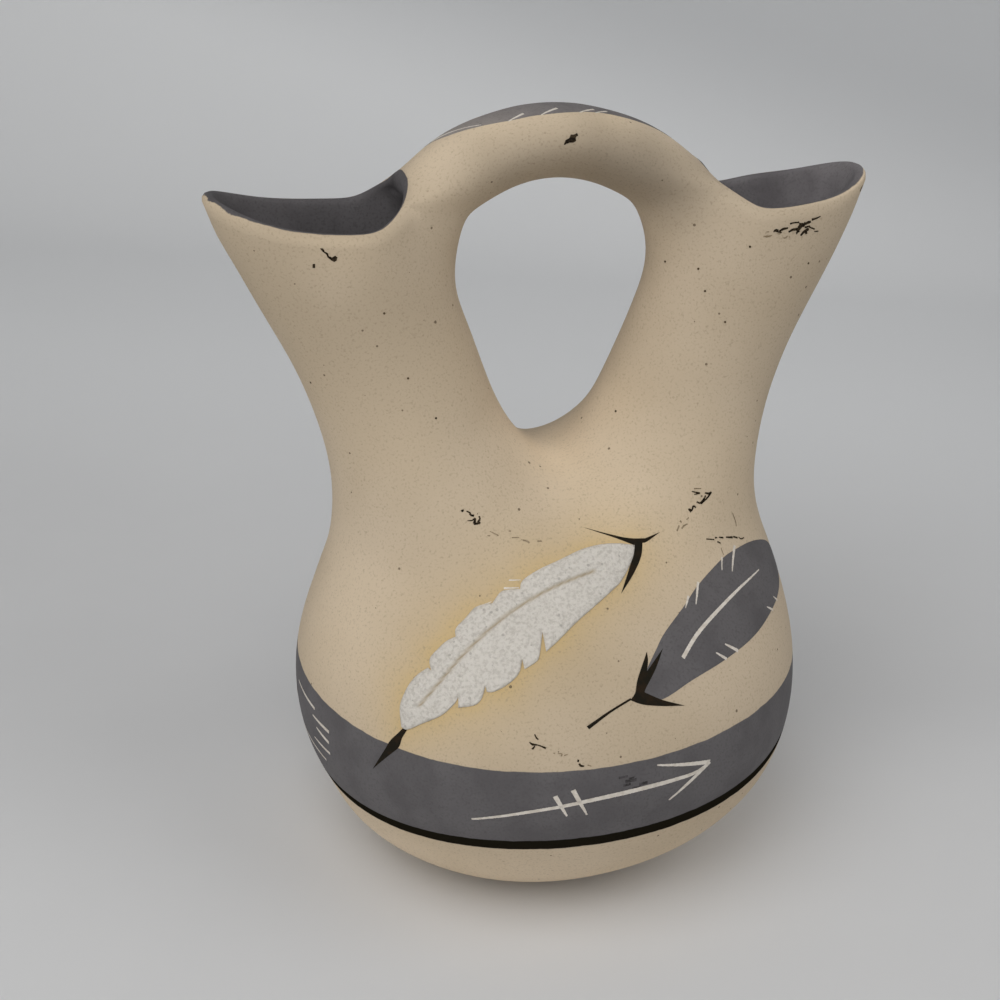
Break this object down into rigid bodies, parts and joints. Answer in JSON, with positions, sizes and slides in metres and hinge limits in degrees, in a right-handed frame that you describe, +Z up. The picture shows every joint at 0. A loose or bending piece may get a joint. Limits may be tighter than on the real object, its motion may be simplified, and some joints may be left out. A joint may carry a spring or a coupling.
{
  "type": "wedding vase",
  "caption": "Round ceramic wedding vase with an oval neck that parts into flared spouts, a bridge handle over the gap, a grey slip band and a raised feather.",
  "frame": {"origin": "middle of the foot's underside, on the surface that the vase stands on", "axes": "+Z up, +X from the middle towards the right spout, -Y towards the decorated front"},
  "size_m": [0.172, 0.1366, 0.2036],
  "materials": {
    "cream_slip": "matt fired slip",
    "grey_slip": "matt fired slip",
    "white_slip": "rough raised slip"
  },
  "bodies": {
    "root": {"base_slab": "cream_slip", "lower_bowl": "cream_slip", "belly_course": "grey_slip", "shoulder": "cream_slip", "fork": "cream_slip", "left_spout": "cream_slip", "right_spout": "cream_slip", "handle": "cream_slip", "white_feather": "white_slip"}
  },
  "joints": []
}
